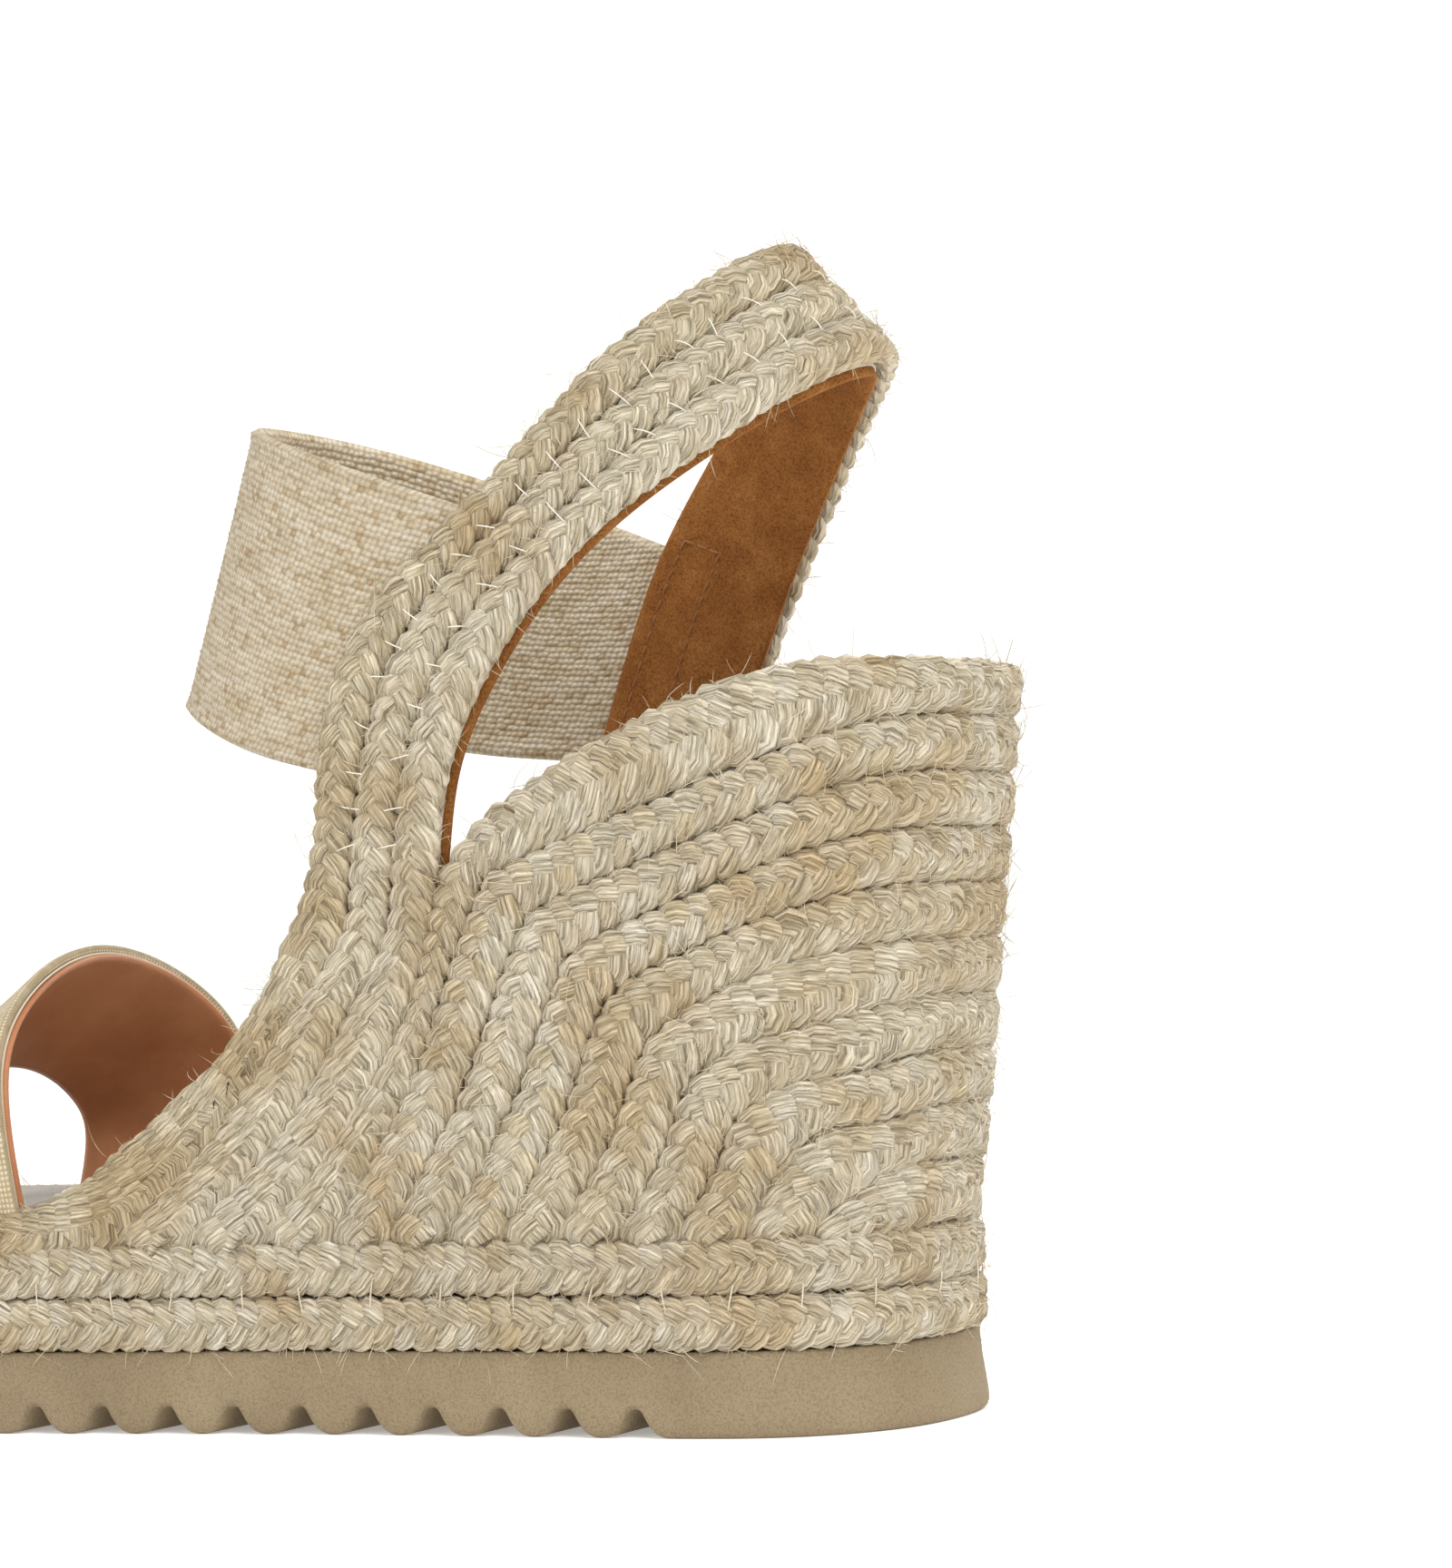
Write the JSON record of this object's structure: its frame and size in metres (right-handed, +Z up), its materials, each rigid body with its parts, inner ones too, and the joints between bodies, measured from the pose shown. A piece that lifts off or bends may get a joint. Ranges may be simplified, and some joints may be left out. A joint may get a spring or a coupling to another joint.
{
  "type": "wedge sandal",
  "caption": "Left wedge sandal with a braid-wrapped heel and platform, grooved outsole, open toe strap, braided heel strap and wide elastic instep band.",
  "frame": {"origin": "centre of the bounding box, on the floor under the outsole", "axes": "+X towards the heel, -X towards the toe, +Y towards the inner side of the foot, +Z up"},
  "size_m": [0.2416, 0.0911, 0.1774],
  "materials": {
    "jute_braid": "natural plaited jute, dry and hairy",
    "outsole_rubber": "matt moulded taupe",
    "core_cork": "pressed cork",
    "sewing_thread": "pale linen thread",
    "sock_leather": "smooth grey taupe",
    "padding_foam": "soft latex foam",
    "insole_fibreboard": "fibreboard",
    "shank_steel": "plain rolled steel",
    "toe_strap_linen": "pale natural linen weave",
    "interlining_tape": "cotton tape",
    "lining_leather": "smooth brown lining leather",
    "lining_suede": "tan suede",
    "elastic_webbing": "woven elastic with mottled linen yarn"
  },
  "bodies": {
    "sole": {"outsole": "outsole_rubber", "platform_core": "core_cork", "platform_braid_lower": "jute_braid", "platform_braid_upper": "jute_braid", "platform_stitching": "sewing_thread", "wedge_braid_01": "jute_braid", "wedge_braid_02": "jute_braid", "wedge_braid_03": "jute_braid", "wedge_braid_04": "jute_braid", "wedge_braid_05": "jute_braid", "wedge_braid_06": "jute_braid", "wedge_braid_07": "jute_braid", "wedge_braid_08": "jute_braid", "wedge_braid_09": "jute_braid", "wedge_braid_10": "jute_braid", "side_braid_3_outer": "jute_braid", "side_braid_3_inner": "jute_braid", "side_braid_2_outer": "jute_braid", "side_braid_2_inner": "jute_braid", "edge_braid": "jute_braid", "sock_lining": "sock_leather", "insole_padding": "padding_foam", "insole_board": "insole_fibreboard", "shank": "shank_steel", "wedge_core": "core_cork", "toe_strap_outer": "toe_strap_linen", "toe_strap_interlining": "interlining_tape", "toe_strap_lining": "lining_leather"},
    "heel_strap": {"strap_braid_1": "jute_braid", "strap_braid_2": "jute_braid", "strap_braid_3": "jute_braid", "strap_tape": "interlining_tape", "strap_lining": "lining_suede", "lining_stitching": "sewing_thread", "elastic_side_outer": "elastic_webbing", "elastic_side_inner": "elastic_webbing"},
    "instep_band": {"elastic_front": "elastic_webbing"}
  },
  "joints": [
    {"name": "heel_strap_tilt", "type": "hinge", "parent": "sole", "child": "heel_strap", "pos_m": [0.0354, -0.0349, 0.0845], "axis": [0.2129, 0.9708, 0.1102], "range_deg": [-4, 10], "stiffness_Nm_per_rad": 2},
    {"name": "instep_band_stretch", "type": "slide", "parent": "heel_strap", "child": "instep_band", "axis": [-0.962, 0, 0.273], "range_m": [0, 0.02], "stiffness_N_per_m": 600, "deforming": ["elastic_side_outer", "elastic_side_inner"]}
  ]
}
